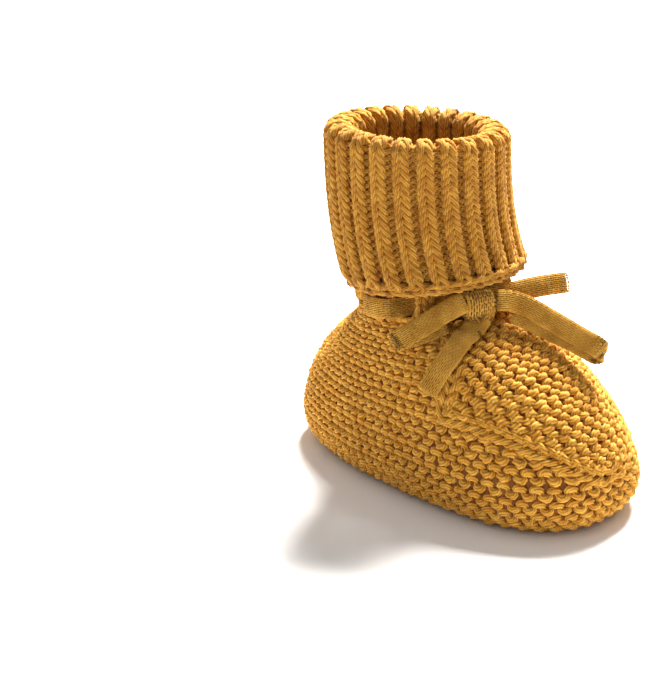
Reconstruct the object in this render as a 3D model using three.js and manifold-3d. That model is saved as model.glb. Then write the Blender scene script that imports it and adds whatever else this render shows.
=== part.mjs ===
// Knitted baby bootie with a turned-down ribbed cuff and a tie bow.
// Millimetres, +Z up, toe toward -Y, heel toward +Y, sole on Z = 0.
// "left" is the wearer's left (+X), "right" the wearer's right (-X).
// Knitted panels are plain closed shells; stitches are left to the finished look.

import * as THREE from "three";
import { mergeVertices } from "three/addons/utils/BufferGeometryUtils.js";
import Module from "manifold-3d";

// ---- driving dimensions -------------------------------------------------------------------
const gap = 0.3; // clearance between touching pieces

const soleLength = 105; // heel to toe at the widest level
const soleWidth = 56; // across the widest level
const bulgeHeight = 9; // level where the foot is longest and widest
const soleTuck = 9; // how far the wall draws in under the foot
const widestY = -3.3; // where the foot is widest, forward of the middle
const footFabric = 3.2; // thickness of the garter-stitch fabric

const ankleRadius = 19.8; // outside of the eyelet band
const ankleY = 11.5; // centre of the ankle opening
const tieHeight = 48.2; // middle of the eyelet band at the ankle centre
const tieTilt = 8; // degrees, front of the ankle higher than the back
const bandHeight = 8.2; // eyelet band, bottom to top
const bandFabric = 2.4; // eyelet band thickness

const vampSide = 72; // degrees from the toe to the vamp's side edges
const vampTipRise = 0.17; // where the vamp ends at the toe, 0 bulge level to 1 ankle
const vampSideRise = 0.5; // where the vamp's lower edge meets its side edge
const tipRounding = 8; // degrees, how blunt the vamp's tip is
const vampAtAnkle = 37; // degrees from the toe to the vamp's side edges at the ankle
const vampNarrowing = 1.25; // 1 is a straight side edge
const heelSide = 125; // degrees from the toe to the heel wall's edges
const joinHeight = 2.2; // band of picked-up stitches under the vamp

const cuffHeight = 38.4; // hem to the fold at the rim, along Z
const cuffBack = 6.4; // how far the rim stands back of the hem
const cuffBend = 3; // 1 is a straight cuff; above 1 it bends back nearer the hem
const cuffLean = 5; // degrees, sideways lean of the rim
const cuffOverBand = 3.6; // how far the turned-down layer stands out beyond the eyelet band
const cuffFabric = 2.7; // thickness of one rib layer
const hemDrop = 0.6; // hem above the top of the eyelet band
const hemForward = 1.2; // hem's centre forward of the ankle's
const castOffHeight = 2.4; // cast-off chain along the hem

const tapeWidth = 5.4; // flat tubular tie
const tapeThickness = 1.6;
const eyeletPairs = 4; // eyelets on each side of the bow
const firstEyelet = 33; // degrees from the toe direction to the first eyelet
const eyeletStep = 36.7; // degrees between eyelets
const eyeletWidth = 8; // along the band
const knotX = -6.5; // the bow sits off the middle
const knotSize = new THREE.Vector3(6.4, 6.2, 8); // across, deep, high
const knotSquareness = 0.6; // 1 is a ball, lower is squarer

// ---- materials ----------------------------------------------------------------------------
const cottonColour = 0xc8943c;
const tieColour = 0xb98f3e;
function cotton(colour = cottonColour) {
  return new THREE.MeshStandardMaterial({ color: colour, roughness: 0.85, metalness: 0 });
}

// ---- solids from grids --------------------------------------------------------------------
// A closed shell between an outer and an inner grid of points, both [row][column].
function shellGeometry(outer, inner, ringClosed) {
  const rows = outer.length;
  const columns = outer[0].length;
  const positions = [];
  const indices = [];
  for (const grid of [outer, inner]) {
    for (const row of grid) {
      for (const point of row) positions.push(point.x, point.y, point.z);
    }
  }
  const at = (layer, row, column) => layer * rows * columns + row * columns + (column % columns);
  const quad = (a, b, c, d) => indices.push(a, b, c, a, c, d);
  const spans = ringClosed ? columns : columns - 1;
  for (let i = 0; i < rows - 1; i++) {
    for (let j = 0; j < spans; j++) {
      quad(at(0, i, j), at(0, i, j + 1), at(0, i + 1, j + 1), at(0, i + 1, j));
      quad(at(1, i, j), at(1, i + 1, j), at(1, i + 1, j + 1), at(1, i, j + 1));
    }
  }
  for (let j = 0; j < spans; j++) {
    quad(at(0, 0, j), at(1, 0, j), at(1, 0, j + 1), at(0, 0, j + 1));
    quad(at(0, rows - 1, j), at(0, rows - 1, j + 1), at(1, rows - 1, j + 1), at(1, rows - 1, j));
  }
  if (!ringClosed) {
    for (let i = 0; i < rows - 1; i++) {
      quad(at(0, i, 0), at(0, i + 1, 0), at(1, i + 1, 0), at(1, i, 0));
      const last = columns - 1;
      quad(at(0, i, last), at(1, i, last), at(1, i + 1, last), at(0, i + 1, last));
    }
  }
  const geometry = new THREE.BufferGeometry();
  geometry.setAttribute("position", new THREE.Float32BufferAttribute(positions, 3));
  geometry.setIndex(indices);
  geometry.computeVertexNormals();
  return geometry;
}

function piece(name, geometry, colour) {
  const mesh = new THREE.Mesh(geometry, cotton(colour));
  mesh.name = name;
  return mesh;
}

const radians = THREE.MathUtils.degToRad;
const mix = THREE.MathUtils.lerp;
const tiltSlope = Math.tan(radians(tieTilt));
const range = (count, from, to) =>
  Array.from({ length: count }, (_, k) => mix(from, to, k / (count - 1)));

// ---- foot surface -------------------------------------------------------------------------
// rise: -1 at the ground, 0 at the bulge level, 1 at the lower edge of the eyelet band.
// turn: degrees from the toe direction, positive toward the wearer's left.
const sideCurve = 1.45;
const heelCurve = 2.2;
const toeCurve = 2;
const toeSharpness = 0.89;
const tuckCurve = 2.2;
const widestSquareness = 2.5; // 2 is an ellipse
const footTop = tieHeight - bandHeight / 2 - gap;

function footOutline(rise) {
  const up = Math.max(rise, 0);
  const tuck = soleTuck * (1 - Math.sqrt(1 - Math.pow(Math.max(-rise, 0), tuckCurve)));
  const halfWidth = mix(soleWidth / 2, ankleRadius, Math.pow(up, sideCurve));
  const rear = mix(soleLength / 2, ankleY + ankleRadius, Math.pow(up, heelCurve));
  const toeShare = Math.pow(Math.max(1 - Math.pow(up, toeCurve), 0), toeSharpness);
  const front = mix(ankleRadius - ankleY, soleLength / 2, toeShare);
  return {
    halfWidth: halfWidth - tuck,
    rear: rear - tuck,
    front: front - tuck,
    middle: mix(widestY, ankleY, up * up),
    squareness: 2 / mix(widestSquareness, 2, up),
  };
}

function footPoint(rise, turn) {
  const outline = footOutline(rise);
  const angle = radians(turn - 90);
  const power = (value) => Math.sign(value) * Math.pow(Math.abs(value), outline.squareness);
  const across = power(Math.cos(angle));
  const along = power(Math.sin(angle));
  const reach = along > 0 ? outline.rear - outline.middle : outline.front + outline.middle;
  const y = outline.middle + along * reach;
  const up = Math.max(rise, 0);
  const height = mix(bulgeHeight, footTop, up) - up * up * (y - ankleY) * tiltSlope;
  const z = rise < 0 ? bulgeHeight * (1 + rise) : height;
  return new THREE.Vector3(outline.halfWidth * across, y, z);
}

function inward(rise, turn, depth) {
  const small = 0.01;
  const low = Math.min(rise, 1 - small);
  const upward = footPoint(low + small, turn).sub(footPoint(low, turn));
  const sideways = footPoint(rise, turn + 1).sub(footPoint(rise, turn - 1));
  const normal = sideways.cross(upward).normalize();
  return footPoint(rise, turn).addScaledVector(normal, -depth);
}

// A piece of the foot wall: turns from one edge to the other, rises given for each turn.
// shift moves a turn where the vamp narrows toward the ankle.
function footPanel(turns, lowRise, highRise, rowCount, shift = (rise, turn) => turn) {
  const grid = (place) =>
    range(rowCount, 0, 1).map((share) =>
      turns.map((turn) => {
        const rise = mix(lowRise(turn), highRise(turn), share);
        return place(rise, shift(rise, turn));
      }),
    );
  return shellGeometry(grid(footPoint), grid((rise, turn) => inward(rise, turn, footFabric)), false);
}

const wallBottom = -0.96;
const riseGap = gap / (footTop - bulgeHeight);
const joinRise = joinHeight / (footTop - bulgeHeight);
const turnGap = THREE.MathUtils.radToDeg(gap / (soleWidth / 2));

// Rise of the vamp's lower edge.
function vampEdge(turn) {
  const fromMiddle = Math.hypot(turn, tipRounding) - tipRounding;
  const share = Math.min(fromMiddle / (vampSide - tipRounding), 1);
  return mix(vampTipRise, vampSideRise, Math.sin((share * Math.PI) / 2));
}

// Turn of the vamp's side edge: it narrows above the lower edge.
function vampSideTurn(rise) {
  const share = THREE.MathUtils.clamp((rise - vampSideRise) / (1 - vampSideRise), 0, 1);
  return mix(vampSide, vampAtAnkle, Math.pow(share, vampNarrowing));
}

const narrowVamp = (rise, turn) => (turn * vampSideTurn(rise)) / vampSide;
function widenSide(rise, turn) {
  const share = (Math.abs(turn) - vampSide) / (heelSide - vampSide);
  return Math.sign(turn) * mix(vampSideTurn(rise), heelSide, share);
}

const vampTurns = range(33, -vampSide + turnGap, vampSide - turnGap);
const atGround = () => wallBottom;
const atAnkle = () => 1;
const toeWall = footPanel(vampTurns, atGround, (turn) => vampEdge(turn) - joinRise, 10);
const vampLow = (turn) => vampEdge(turn) + riseGap;
const vamp = footPanel(vampTurns, vampLow, atAnkle, 14, narrowVamp);
const joinSpan = (turns) =>
  footPanel(turns, (turn) => vampEdge(turn) - joinRise + riseGap, vampEdge, 2);
const joinLeft = joinSpan(range(18, turnGap, vampSide - turnGap));
const joinRight = joinSpan(range(18, -vampSide + turnGap, -turnGap));
const sideTurns = range(14, vampSide + turnGap, heelSide - turnGap);
const mirrored = sideTurns.map((turn) => -turn).reverse();
const sideWallLeft = footPanel(sideTurns, atGround, atAnkle, 20, widenSide);
const sideWallRight = footPanel(mirrored, atGround, atAnkle, 20, widenSide);
const heelTurns = range(24, heelSide + turnGap, 360 - heelSide - turnGap);
const heelWall = footPanel(heelTurns, atGround, atAnkle, 16);

// ---- sole ---------------------------------------------------------------------------------
// A flat slab inside the tucked-in lower edge of the wall, resting on the ground.
function soleGeometry() {
  const rim = range(72, 0, 355).map((turn) => inward(wallBottom, turn, 0));
  const inset = footFabric + gap;
  const outlinePoints = rim.map((point) => {
    const toMiddle = new THREE.Vector2(-point.x, widestY - point.y).normalize();
    return new THREE.Vector2(point.x + toMiddle.x * inset, point.y + toMiddle.y * inset);
  });
  const slab = new THREE.Shape(outlinePoints);
  return new THREE.ExtrudeGeometry(slab, { depth: footFabric, bevelEnabled: false });
}

// ---- rings about the ankle and cuff -------------------------------------------------------
// share: 0 at the hem, 1 at the fold of the rim.
const bandTop = tieHeight + bandHeight / 2;
const hemZ = bandTop + hemDrop;
const hemY = ankleY - hemForward;

function cuffPoint(share, radius, angle, rise = 0) {
  const x = radius * Math.cos(angle);
  const y = radius * Math.sin(angle);
  const slope = tiltSlope * (1 - share);
  const leanSlope = Math.tan(radians(cuffLean)) * Math.max(share, 0);
  const z = hemZ + cuffHeight * share + rise - y * slope - x * leanSlope;
  const back = cuffBack * (1 - Math.pow(1 - share, cuffBend));
  return new THREE.Vector3(x, hemY + back + y, z);
}

const ringSteps = 72;
const ringAngles = range(ringSteps + 1, 0, 2 * Math.PI).slice(0, ringSteps);
const ring = (share, radius, rise) =>
  ringAngles.map((angle) => cuffPoint(share, radius, angle, rise));

function cuffTube(shares, outerRadius, innerRadius) {
  const outer = shares.map((share) => ring(share, outerRadius(share)));
  const inner = shares.map((share) => ring(share, innerRadius(share)));
  return shellGeometry(outer, inner, true);
}

const cuffRadius = ankleRadius + cuffOverBand; // outside of the turned-down layer
const layerInner = cuffRadius - cuffFabric; // inside of the turned-down layer
const innerLayerOut = layerInner - gap; // outside of the layer against the leg
const innerLayerIn = innerLayerOut - cuffFabric;
const foldRadius = (cuffRadius - innerLayerIn) / 2;
const foldShare = 1 - foldRadius / cuffHeight;
const hemShare = castOffHeight / cuffHeight;
const bandShare = (bandTop + gap - hemZ) / cuffHeight;
const shareGap = gap / cuffHeight;

const turnDown = cuffTube(
  range(10, hemShare + shareGap, foldShare),
  () => cuffRadius,
  () => layerInner,
);
const castOff = cuffTube(
  [0, hemShare],
  () => cuffRadius,
  () => layerInner,
);
const innerCuff = cuffTube(
  range(11, bandShare, foldShare),
  () => innerLayerOut,
  () => innerLayerIn,
);

// The fold: half a round roll that joins both layers at the rim.
function rimGeometry() {
  const middle = (cuffRadius + innerLayerIn) / 2;
  const arcs = range(9, 0, Math.PI);
  const roll = (size) =>
    arcs.map((bend) =>
      ring(foldShare + shareGap, middle + size * Math.cos(bend), size * Math.sin(bend)),
    );
  return shellGeometry(roll(foldRadius), roll(gap / 2), true);
}

// ---- eyelet band --------------------------------------------------------------------------
const bandInner = ankleRadius - bandFabric;

function bandPoint(radius, angle, rise) {
  const y = radius * Math.sin(angle);
  return new THREE.Vector3(
    radius * Math.cos(angle),
    ankleY + y,
    tieHeight + rise - y * tiltSlope,
  );
}

const eyeletTurns = [];
for (let k = 0; k < eyeletPairs; k++) {
  const turn = firstEyelet + k * eyeletStep;
  eyeletTurns.push(turn, -turn);
}

const wasm = await Module();
wasm.setup();

function toManifold(geometry) {
  const plain = geometry.clone();
  plain.deleteAttribute("normal");
  plain.deleteAttribute("uv");
  const merged = mergeVertices(plain, 1e-4);
  return new wasm.Manifold(
    new wasm.Mesh({
      numProp: 3,
      vertProperties: new Float32Array(merged.attributes.position.array),
      triVerts: new Uint32Array(merged.index.array),
    }),
  );
}

function fromManifold(solid) {
  const mesh = solid.getMesh();
  const geometry = new THREE.BufferGeometry();
  geometry.setAttribute("position", new THREE.Float32BufferAttribute(mesh.vertProperties, 3));
  geometry.setIndex(Array.from(mesh.triVerts));
  geometry.computeVertexNormals();
  return geometry;
}

function eyeletBand() {
  const edge = (radius) => [-1, 1].map((side) => {
    return ringAngles.map((angle) => bandPoint(radius, angle, (side * bandHeight) / 2));
  });
  let band = toManifold(shellGeometry(edge(ankleRadius), edge(bandInner), true));
  const height = tapeWidth + 2 * gap;
  for (const turn of eyeletTurns) {
    const angle = radians(turn - 90);
    const cutter = new THREE.BoxGeometry(4 * bandFabric, eyeletWidth, height);
    cutter.rotateZ(angle);
    const middle = bandPoint(ankleRadius - bandFabric / 2, angle, 0);
    cutter.translate(middle.x, middle.y, middle.z);
    band = band.subtract(toManifold(cutter));
  }
  return fromManifold(band);
}

// ---- tie ----------------------------------------------------------------------------------
// A curve that keeps the flat tape's width turned toward one direction.
class TapeCurve extends THREE.CatmullRomCurve3 {
  constructor(points, widthDirection) {
    super(points, false, "centripetal");
    this.widthDirection = widthDirection;
  }

  computeFrenetFrames(steps) {
    const frames = { tangents: [], normals: [], binormals: [] };
    for (let k = 0; k <= steps; k++) {
      const tangent = this.getTangentAt(k / steps).normalize();
      const width = this.widthDirection.clone();
      width.addScaledVector(tangent, -width.dot(tangent)).normalize();
      frames.tangents.push(tangent);
      frames.normals.push(width);
      frames.binormals.push(tangent.clone().cross(width));
    }
    return frames;
  }
}

// An eight-sided section, the tape's width across and its thickness deep.
const edgeCorners = [-67.5, -22.5, 22.5, 67.5]; // degrees, four corners on each rounded edge
function tapeSection() {
  const edge = tapeThickness / 2;
  const outline = [];
  for (const side of [1, -1]) {
    for (const bend of edgeCorners) {
      const x = side * (tapeWidth / 2 - edge + edge * Math.cos(radians(bend)));
      outline.push(new THREE.Vector2(x, side * edge * Math.sin(radians(bend))));
    }
  }
  return new THREE.Shape(outline);
}

function tape(points, widthDirection, steps) {
  const extrudePath = new TapeCurve(points, widthDirection);
  return new THREE.ExtrudeGeometry(tapeSection(), { steps, extrudePath, bevelEnabled: false });
}

// The tie's run round the ankle, out and in through the eyelets, whole from knot to knot.
const tapeOut = ankleRadius + gap + tapeThickness / 2;
const tapeIn = bandInner - gap - tapeThickness / 2;
const knotRadius = ankleRadius + gap + knotSize.y / 2;
const knotTurn = THREE.MathUtils.radToDeg(Math.asin(knotX / knotRadius));

const crossingShare = 0.8; // part of an eyelet in which the tape changes sides
function tapeRadius(turn) {
  const fromToe = Math.abs(THREE.MathUtils.euclideanModulo(turn + 180, 360) - 180);
  const crossing = THREE.MathUtils.radToDeg((crossingShare * eyeletWidth) / 2 / ankleRadius);
  let outside = 1;
  for (let k = 0; k < eyeletPairs; k++) {
    const eyelet = firstEyelet + k * eyeletStep;
    const passed = THREE.MathUtils.smoothstep(fromToe, eyelet - crossing, eyelet + crossing);
    outside = k % 2 === 0 ? Math.min(outside, 1 - passed) : Math.max(outside, passed);
  }
  return mix(tapeIn, tapeOut, outside);
}

function ankleRun() {
  const halfKnot = THREE.MathUtils.radToDeg((knotSize.x / 2 + gap) / tapeOut);
  const turns = range(150, knotTurn + halfKnot, knotTurn + 360 - halfKnot);
  const points = turns.map((turn) => bandPoint(tapeRadius(turn), radians(turn - 90), 0));
  return tape(points, new THREE.Vector3(0, 0, 1), 180);
}

// The knot: a pillow wound across the middle of the bow.
const knotAngle = radians(knotTurn - 90);
const knotPlace = bandPoint(knotRadius, knotAngle, 0);

function knotGeometry() {
  const geometry = new THREE.SphereGeometry(1, 20, 14);
  const corner = (value) => Math.sign(value) * Math.pow(Math.abs(value), knotSquareness);
  const position = geometry.attributes.position;
  for (let k = 0; k < position.count; k++) {
    position.setXYZ(
      k,
      (corner(position.getX(k)) * knotSize.x) / 2,
      (corner(position.getY(k)) * knotSize.y) / 2,
      (corner(position.getZ(k)) * knotSize.z) / 2,
    );
  }
  geometry.deleteAttribute("uv");
  geometry.deleteAttribute("normal");
  return mergeVertices(geometry, 1e-3);
}

// The free ends: each starts at the knot and its route is a hand-chosen list of points.
const route = (points) => points.map((point) => new THREE.Vector3(...point));

const loopRight = route([
  [-10.3, -10.0, 52.6], [-12.8, -8.7, 51.5], [-16.1, -7.4, 50.1], [-19.6, -5.8, 48.2],
  [-22.9, -4.1, 46.4], [-25.6, -2.4, 44.7], [-26.1, -1.7, 44.2], [-25.8, -0.9, 43.7],
  [-24.9, -0.5, 43.5], [-24.0, -0.7, 43.7], [-21.2, -2.9, 44.6], [-17.8, -5.1, 45.7],
  [-14.3, -7.0, 47.1],
]);
const loopLeft = route([
  [-2.6, -14.0, 52.0], [0.4, -16.2, 51.5], [3.4, -19.9, 49.7], [6.0, -24.4, 47.1],
  [8.2, -29.3, 44.6], [10.0, -33.1, 42.6], [11.4, -35.6, 41.3], [12.6, -36.2, 39.6],
  [12.2, -34.5, 38.8], [10.7, -31.7, 40.3], [8.5, -27.6, 42.3], [5.8, -23.0, 44.5],
  [2.9, -19.2, 46.8], [0.8, -16.4, 48.2],
]);
const tailLeft = route([
  [-2.8, -11.3, 52.2], [1.6, -13.5, 52.5], [6.2, -15.6, 53.0], [10.6, -17.2, 53.1],
  [14.4, -18.6, 53.0], [17.4, -19.8, 52.9],
]);
const tailRight = route([
  [-9.0, -12.4, 46.2], [-11.0, -13.1, 45.7], [-13.6, -13.3, 45.2], [-16.8, -13.7, 43.6],
  [-19.8, -13.6, 41.2], [-22.3, -12.9, 38.3], [-24.3, -12.1, 35.2], [-25.4, -11.4, 33.2],
]);
const acrossLoopRight = new THREE.Vector3(-0.08, 0.56, 0.82);
const acrossLoopLeft = new THREE.Vector3(0.48, 0, 0.88);
const acrossTailLeft = new THREE.Vector3(0.15, 0.38, 0.91);
const acrossTailRight = new THREE.Vector3(0.45, -0.75, -0.49);

// ---- the object ---------------------------------------------------------------------------
const loopSteps = 60;
const tailSteps = 14;
const bootie = new THREE.Group();
bootie.add(
  piece("sole", soleGeometry()),
  piece("toe_wall", toeWall),
  piece("side_wall_left", sideWallLeft),
  piece("side_wall_right", sideWallRight),
  piece("heel_wall", heelWall),
  piece("vamp", vamp),
  piece("vamp_join_left", joinLeft),
  piece("vamp_join_right", joinRight),
  piece("ankle_band", eyeletBand()),
  piece("cuff_inner", innerCuff),
  piece("cuff_rim", rimGeometry()),
  piece("cuff_turndown", turnDown),
  piece("cast_off_edge", castOff),
  piece("tie_ankle_run", ankleRun(), tieColour),
  piece("tie_loop_left", tape(loopLeft, acrossLoopLeft, loopSteps), tieColour),
  piece("tie_loop_right", tape(loopRight, acrossLoopRight, loopSteps), tieColour),
  piece("tie_tail_left", tape(tailLeft, acrossTailLeft, tailSteps), tieColour),
  piece("tie_tail_right", tape(tailRight, acrossTailRight, tailSteps), tieColour),
);
const knot = piece("tie_knot", knotGeometry(), tieColour);
knot.position.copy(knotPlace);
knot.rotation.z = knotAngle + Math.PI / 2;
bootie.add(knot);

export default bootie;
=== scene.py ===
import bpy
import math
import numpy as np
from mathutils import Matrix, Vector


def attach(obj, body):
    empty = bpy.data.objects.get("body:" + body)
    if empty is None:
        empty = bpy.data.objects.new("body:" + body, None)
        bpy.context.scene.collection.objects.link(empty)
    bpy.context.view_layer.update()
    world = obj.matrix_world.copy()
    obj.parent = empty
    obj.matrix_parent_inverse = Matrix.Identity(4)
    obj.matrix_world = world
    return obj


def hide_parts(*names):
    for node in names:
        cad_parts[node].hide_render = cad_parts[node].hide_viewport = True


# Knitted baby bootie. Numbers below are millimetres unless they say otherwise; meshes are metres.
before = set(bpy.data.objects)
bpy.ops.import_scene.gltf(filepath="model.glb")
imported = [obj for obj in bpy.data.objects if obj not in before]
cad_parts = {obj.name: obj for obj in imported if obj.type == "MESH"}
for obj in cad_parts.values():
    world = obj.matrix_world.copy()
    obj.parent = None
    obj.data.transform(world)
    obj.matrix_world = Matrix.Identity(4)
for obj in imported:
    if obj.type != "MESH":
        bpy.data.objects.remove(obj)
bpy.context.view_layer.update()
rng = np.random.default_rng(7)
MM = 0.001

# ---- dimensions shared with the CAD part ---------------------------------------------------
GAP = 0.3
SOLE_LENGTH, SOLE_WIDTH, BULGE_HEIGHT, SOLE_TUCK, WIDEST_Y = 105.0, 56.0, 9.0, 9.0, -3.3
ANKLE_RADIUS, ANKLE_Y, TIE_HEIGHT = 19.8, 11.5, 48.2
TILT = math.tan(math.radians(8))
BAND_HEIGHT, BAND_FABRIC = 8.2, 2.4
VAMP_SIDE, VAMP_TIP_RISE, VAMP_SIDE_RISE, HEEL_SIDE = 72.0, 0.17, 0.5, 125.0
TIP_ROUNDING, VAMP_AT_ANKLE, VAMP_NARROWING = 8.0, 37.0, 1.25
SIDE_CURVE, HEEL_CURVE, TOE_SHARPNESS, TUCK_CURVE, WIDEST_SQUARENESS = 1.45, 2.2, 0.89, 2.2, 2.5
CUFF_HEIGHT, CUFF_BACK, CUFF_BEND, CUFF_FABRIC = 38.4, 6.4, 3.0, 2.7
CUFF_OVER_BAND = 3.6
CUFF_RADIUS = ANKLE_RADIUS + CUFF_OVER_BAND
LEAN = math.tan(math.radians(5))
HEM_DROP, HEM_FORWARD, CAST_OFF_HEIGHT = 0.6, 1.2, 2.4
TAPE_WIDTH, TAPE_THICKNESS = 5.4, 1.6
FIRST_EYELET, EYELET_STEP, EYELET_PAIRS = 33, 36.7, 4
EYELETS = [FIRST_EYELET + EYELET_STEP * k for k in range(EYELET_PAIRS)]
EYELET_WIDTH = 8.0
KNOT_X, KNOT_ACROSS, KNOT_DEEP, KNOT_HIGH = -6.5, 6.4, 6.2, 8.0
FOOT_TOP = TIE_HEIGHT - BAND_HEIGHT / 2 - GAP
BAND_TOP = TIE_HEIGHT + BAND_HEIGHT / 2
HEM_Z, HEM_Y = BAND_TOP + HEM_DROP, ANKLE_Y - HEM_FORWARD
TAPE_OUT = ANKLE_RADIUS + GAP + TAPE_THICKNESS / 2
TAPE_IN = ANKLE_RADIUS - BAND_FABRIC - GAP - TAPE_THICKNESS / 2
KNOT_RADIUS = ANKLE_RADIUS + GAP + KNOT_DEEP / 2
KNOT_TURN = math.degrees(math.asin(KNOT_X / KNOT_RADIUS))


# ---- camera --------------------------------------------------------------------------------
CAMERA_TURN, CAMERA_RISE, CAMERA_AWAY = math.radians(46), math.radians(22), 0.5
TARGET = Vector((0, 0, 0.04))
camera_data = bpy.data.cameras.new("camera")
camera = bpy.data.objects.new("camera", camera_data)
bpy.context.scene.collection.objects.link(camera)
toward_camera = Vector((
    -math.sin(CAMERA_TURN) * math.cos(CAMERA_RISE),
    -math.cos(CAMERA_TURN) * math.cos(CAMERA_RISE),
    math.sin(CAMERA_RISE),
))
camera.location = TARGET + CAMERA_AWAY * toward_camera
camera.rotation_mode = "QUATERNION"
camera.rotation_quaternion = (-toward_camera).to_track_quat("-Z", "Y")
camera_data.sensor_width = 36
camera_data.lens = 99.5
camera_data.shift_x = -0.2043
camera_data.shift_y = -0.0295
camera_data.clip_start, camera_data.clip_end = 0.01, 20
bpy.context.scene.camera = camera


# ---- mesh from tubes -----------------------------------------------------------------------
def mix(a, b, share):
    return a + (b - a) * share


def smooth(low, high, value):
    share = np.clip((value - low) / (high - low), 0, 1)
    return share * share * (3 - 2 * share)


def unit(vectors):
    return vectors / np.maximum(np.linalg.norm(vectors, axis=-1, keepdims=True), 1e-9)


def any_turn():
    return float(rng.uniform(0, 6.28))


class Tube:
    """Rings along a path: points [n][sides][3], and how far along the path each ring is."""

    def __init__(self, rings, along, closed=False, shadow=False):
        self.rings, self.along, self.closed, self.shadow = rings, along, closed, shadow


PLIES = 6


def yarn(path, normal, radius, plies=PLIES, twist=11.0, groove=0.72, squash=1.0, closed=False, phase=0.0):
    """A plied yarn: a ring with a raised and a sunk vertex for each ply, turning as it goes."""
    step = np.linalg.norm(np.diff(path, axis=0), axis=1)
    along = np.concatenate([[0], np.cumsum(step)])
    if closed:
        tangent = unit(np.roll(path, -1, 0) - np.roll(path, 1, 0))
    else:
        tangent = unit(np.gradient(path, axis=0))
    side = unit(np.cross(tangent, normal))
    out = np.cross(side, tangent)
    sides = 2 * plies
    corner = np.arange(sides) * 2 * np.pi / sides
    turns = along[-1] / twist
    if closed:
        turns = round(turns * plies) / plies
    angle = corner[None, :] + (phase + 2 * np.pi * turns * along / along[-1])[:, None]
    size = np.where(np.arange(sides) % 2 == 0, 1.0, groove)[None, :] * np.broadcast_to(
        np.asarray(radius, float), (len(path),))[:, None]
    rings = (path[:, None, :]
             + (size * np.cos(angle))[..., None] * side[:, None, :]
             + (size * np.sin(angle) * squash)[..., None] * out[:, None, :])
    return Tube(rings, along, closed)


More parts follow.
